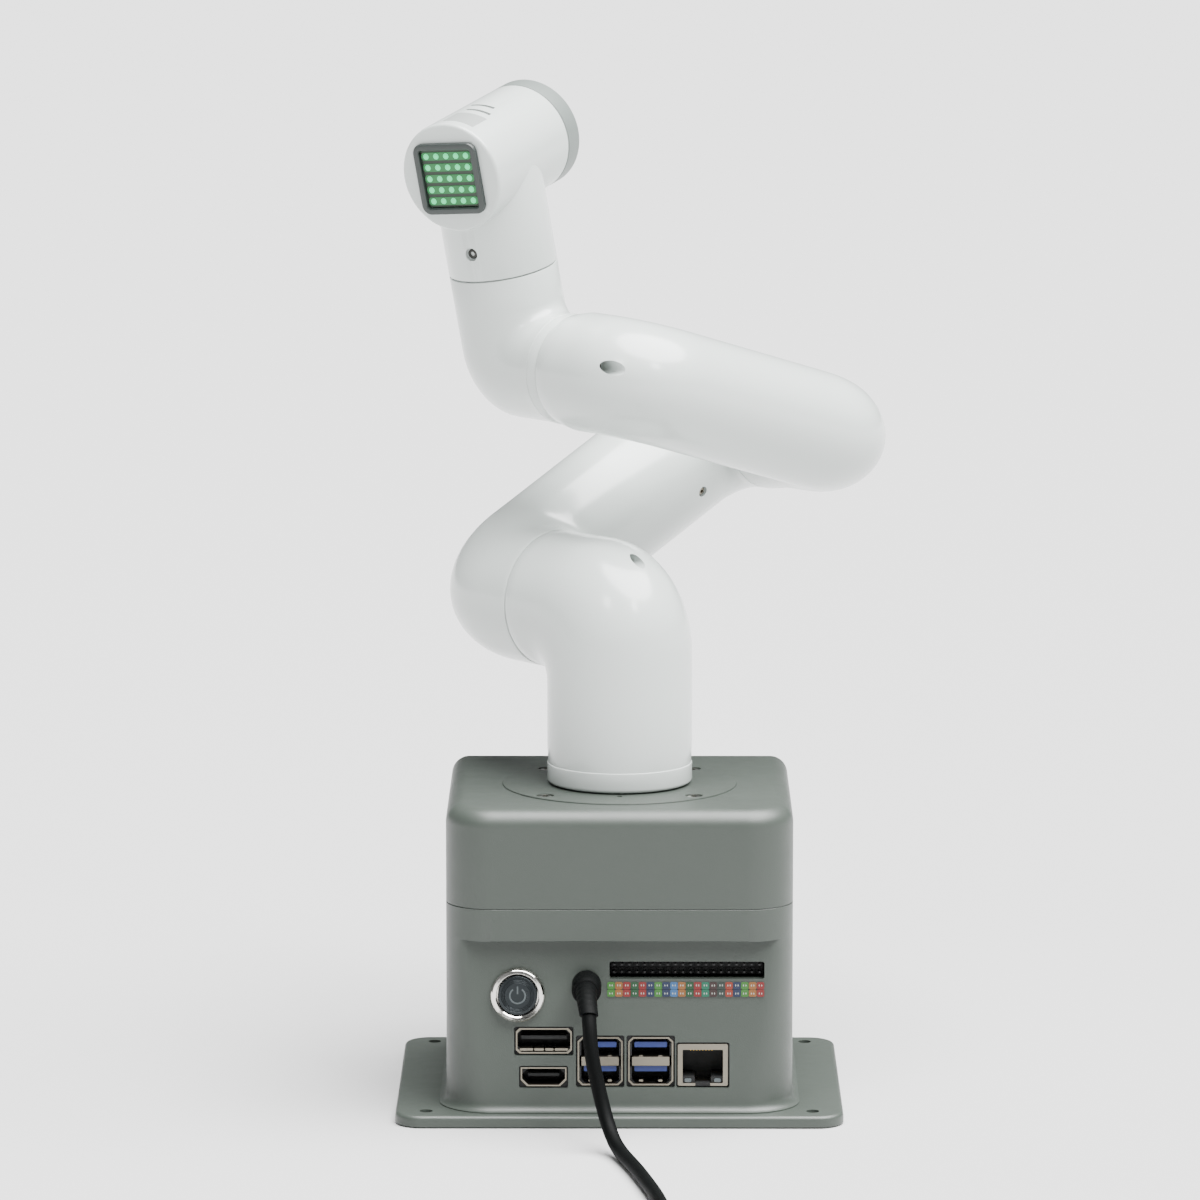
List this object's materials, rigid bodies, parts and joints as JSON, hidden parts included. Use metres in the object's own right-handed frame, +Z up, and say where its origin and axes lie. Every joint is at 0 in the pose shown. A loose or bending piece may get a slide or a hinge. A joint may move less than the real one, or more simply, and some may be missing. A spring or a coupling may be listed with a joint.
{
  "type": "desktop robot arm",
  "caption": "Small articulated robot arm with six turning joints on a computer base with ports, a push button, a dot display head, a round tool flange and a power lead.",
  "frame": {"origin": "on the underside of the base, under the first joint's axis, near the middle of the foot plate", "axes": "+Z up along the first joint, -Y out of the port panel, +X to the right of the port panel"},
  "size_m": [0.1653, 0.3971, 0.338],
  "materials": {
    "aluminium": "machined",
    "base_grey": "moulded, fine texture",
    "bezel_grey": "satin",
    "board_green": "solder mask",
    "chrome": "polished",
    "cord_rubber": "matt",
    "dark_plastic": "satin",
    "flange_grey": "satin",
    "label_print": "printed film",
    "led_green": "translucent diffuser",
    "steel": "plated",
    "white_shell": "moulded, glossy"
  },
  "bodies": {
    "root": {"base_bottom_cover": "base_grey", "base_lower_shell": "base_grey", "base_upper_cover": "base_grey", "board_standoff_1": "steel", "board_standoff_2": "steel", "board_standoff_3": "steel", "board_standoff_4": "steel", "bottom_screw_1": "steel", "bottom_screw_2": "steel", "bottom_screw_3": "steel", "bottom_screw_4": "steel", "button_housing": "chrome", "button_nut": "steel", "computer_board": "board_green", "cord_coil": "cord_rubber", "cord_tail": "cord_rubber", "dc_jack": "dark_plastic", "dc_plug": "cord_rubber", "display_port": "steel", "ethernet_jack": "steel", "gpio_header": "dark_plastic", "hdmi_port": "steel", "heat_sink": "aluminium", "j1_bearing": "steel", "j1_servo": "dark_plastic", "lead_connector": "cord_rubber", "pin_label_strip": "label_print", "power_cord": "cord_rubber", "ring_plate": "base_grey", "ring_screw_1": "steel", "ring_screw_2": "steel", "ring_screw_3": "steel", "ring_screw_4": "steel", "strain_relief": "cord_rubber", "usb_stack_left": "steel", "usb_stack_right": "steel"},
    "button": {"button_cap": "dark_plastic"},
    "link1": {"column_shell": "white_shell", "elbow_screw": "steel", "j1_output_adapter": "aluminium", "j2_servo": "dark_plastic"},
    "link2": {"j2_horn": "aluminium", "j3_servo": "dark_plastic", "link2_screw": "steel", "link2_shell": "white_shell"},
    "link3": {"j3_horn": "aluminium", "j4_servo": "dark_plastic", "link3_screw": "steel", "link3_shell": "white_shell"},
    "link4": {"j4_horn": "aluminium", "j5_servo": "dark_plastic", "link4_shell": "white_shell"},
    "head": {"control_board": "board_green", "display_bezel": "bezel_grey", "head_shell": "white_shell", "j5_horn": "aluminium", "j6_servo": "dark_plastic", "led_matrix": "led_green", "neck_screw": "steel"},
    "flange": {"tool_flange": "flange_grey"}
  },
  "joints": [
    {"name": "j1_base_turn", "type": "hinge", "parent": "root", "child": "link1", "pos_m": [0, 0, 0], "axis": [0, 0, 1], "range_deg": [-168, 168]},
    {"name": "j2_shoulder", "type": "hinge", "parent": "link1", "child": "link2", "pos_m": [0, 0, 0.165], "axis": [-0.6468, 0.7627, 0], "range_deg": [-60, 50]},
    {"name": "j3_elbow", "type": "hinge", "parent": "link2", "child": "link3", "pos_m": [0.07489, 0.06351, 0.21525], "axis": [-0.6468, 0.7627, 0], "range_deg": [-6, 180]},
    {"name": "j4_wrist_bend", "type": "hinge", "parent": "link3", "child": "link4", "pos_m": [0.00436, 0.00369, 0.24282], "axis": [-0.6468, 0.7627, 0], "range_deg": [-116, 80]},
    {"name": "j5_wrist_turn", "type": "hinge", "parent": "link4", "child": "head", "pos_m": [-0.04587, 0.03911, 0.31315], "axis": [-0.1631, -0.1383, 0.9769], "range_deg": [-95, 235]},
    {"name": "j6_flange_turn", "type": "hinge", "parent": "head", "child": "flange", "pos_m": [-0.04587, 0.03911, 0.31315], "axis": [0.4789, 0.8546, 0.201], "range_deg": [-180, 180]},
    {"name": "power_button_press", "type": "slide", "parent": "root", "child": "button", "axis": [0, 0.9972, -0.0743], "range_m": [0, 0.001], "stiffness_N_per_m": 800, "springref_m": -0.002}
  ]
}
